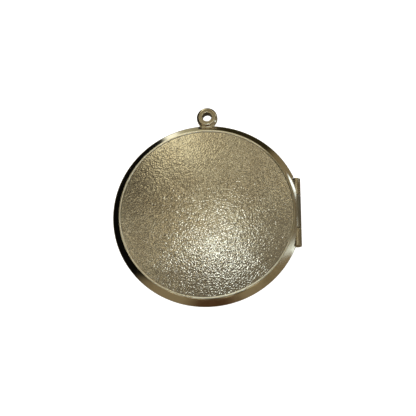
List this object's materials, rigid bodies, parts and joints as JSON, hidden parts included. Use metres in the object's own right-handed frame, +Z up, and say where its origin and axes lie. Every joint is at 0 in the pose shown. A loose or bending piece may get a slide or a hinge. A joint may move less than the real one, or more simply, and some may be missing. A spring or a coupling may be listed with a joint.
{
  "type": "locket",
  "caption": "Round hinged locket with a pebbled domed back, polished bevelled rims, a ring bail, and framed windows over paper inserts inside.",
  "frame": {"origin": "centre of the front medallion's flat face, which the closed locket rests on", "axes": "+Z up through the discs from front to back, +Y towards the bail, +X towards the hinge"},
  "size_m": [0.0378, 0.0418, 0.006],
  "materials": {
    "polished_gilt": "polished gold-tone plating",
    "pebbled_gilt": "fine pebbled gold-tone plating",
    "inner_gilt": "satin gold-tone plating",
    "pin_brass": "drawn brass wire",
    "clear_acetate": "clear gloss sheet",
    "paper": "matt blank card"
  },
  "bodies": {
    "front_half": {"front_rim": "polished_gilt", "front_panel": "pebbled_gilt", "front_bezel": "inner_gilt", "front_photo_frame": "inner_gilt", "front_window": "clear_acetate", "front_insert": "paper", "front_medallion": "polished_gilt", "hinge_knuckle_upper": "polished_gilt", "hinge_knuckle_lower": "polished_gilt", "hinge_pin": "pin_brass"},
    "back_half": {"back_rim": "polished_gilt", "back_panel": "pebbled_gilt", "back_bezel": "inner_gilt", "back_photo_frame": "inner_gilt", "back_window": "clear_acetate", "back_insert": "paper", "hinge_knuckle_middle": "polished_gilt", "bail": "polished_gilt"}
  },
  "joints": [
    {"name": "hinge", "type": "hinge", "parent": "front_half", "child": "back_half", "pos_m": [0.01795, 0, 0.0031], "axis": [0, 1, 0], "range_deg": [0, 175]}
  ]
}
